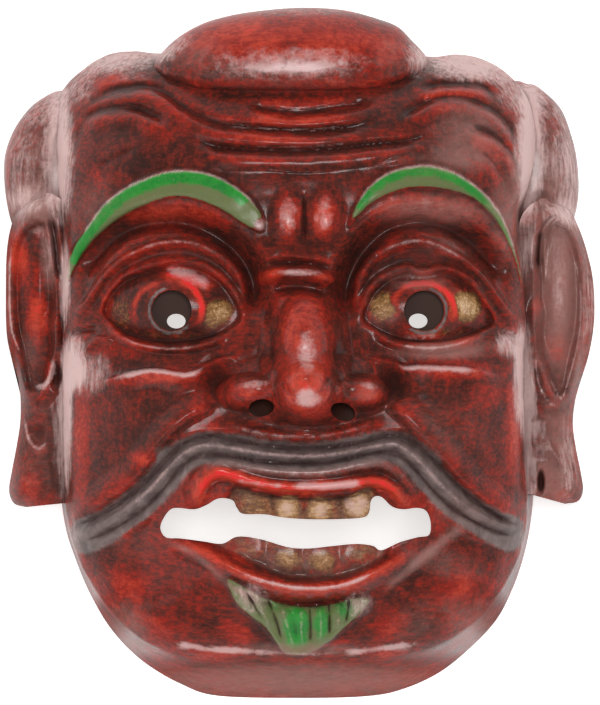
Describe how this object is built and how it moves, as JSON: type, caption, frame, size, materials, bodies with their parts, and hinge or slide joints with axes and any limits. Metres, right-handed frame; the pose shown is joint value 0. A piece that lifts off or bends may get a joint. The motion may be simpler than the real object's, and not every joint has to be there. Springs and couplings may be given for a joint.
{
  "type": "carved dance mask",
  "caption": "Carved and painted wooden dance mask: a grimacing face with pierced bulging eyes, drooping moustache, open toothed mouth and hanging ears, hollowed from behind.",
  "frame": {"origin": "the middle of the mask's box, on the floor plane that its back rim lies on", "axes": "+X to the viewer's right across the ears, +Y from the chin to the crown, +Z out of the face and up as the mask lies on its back rim"},
  "size_m": [0.2582, 0.3, 0.125],
  "materials": {
    "painted_wood": "satin"
  },
  "bodies": {
    "root": {"mask": "painted_wood"}
  },
  "joints": []
}
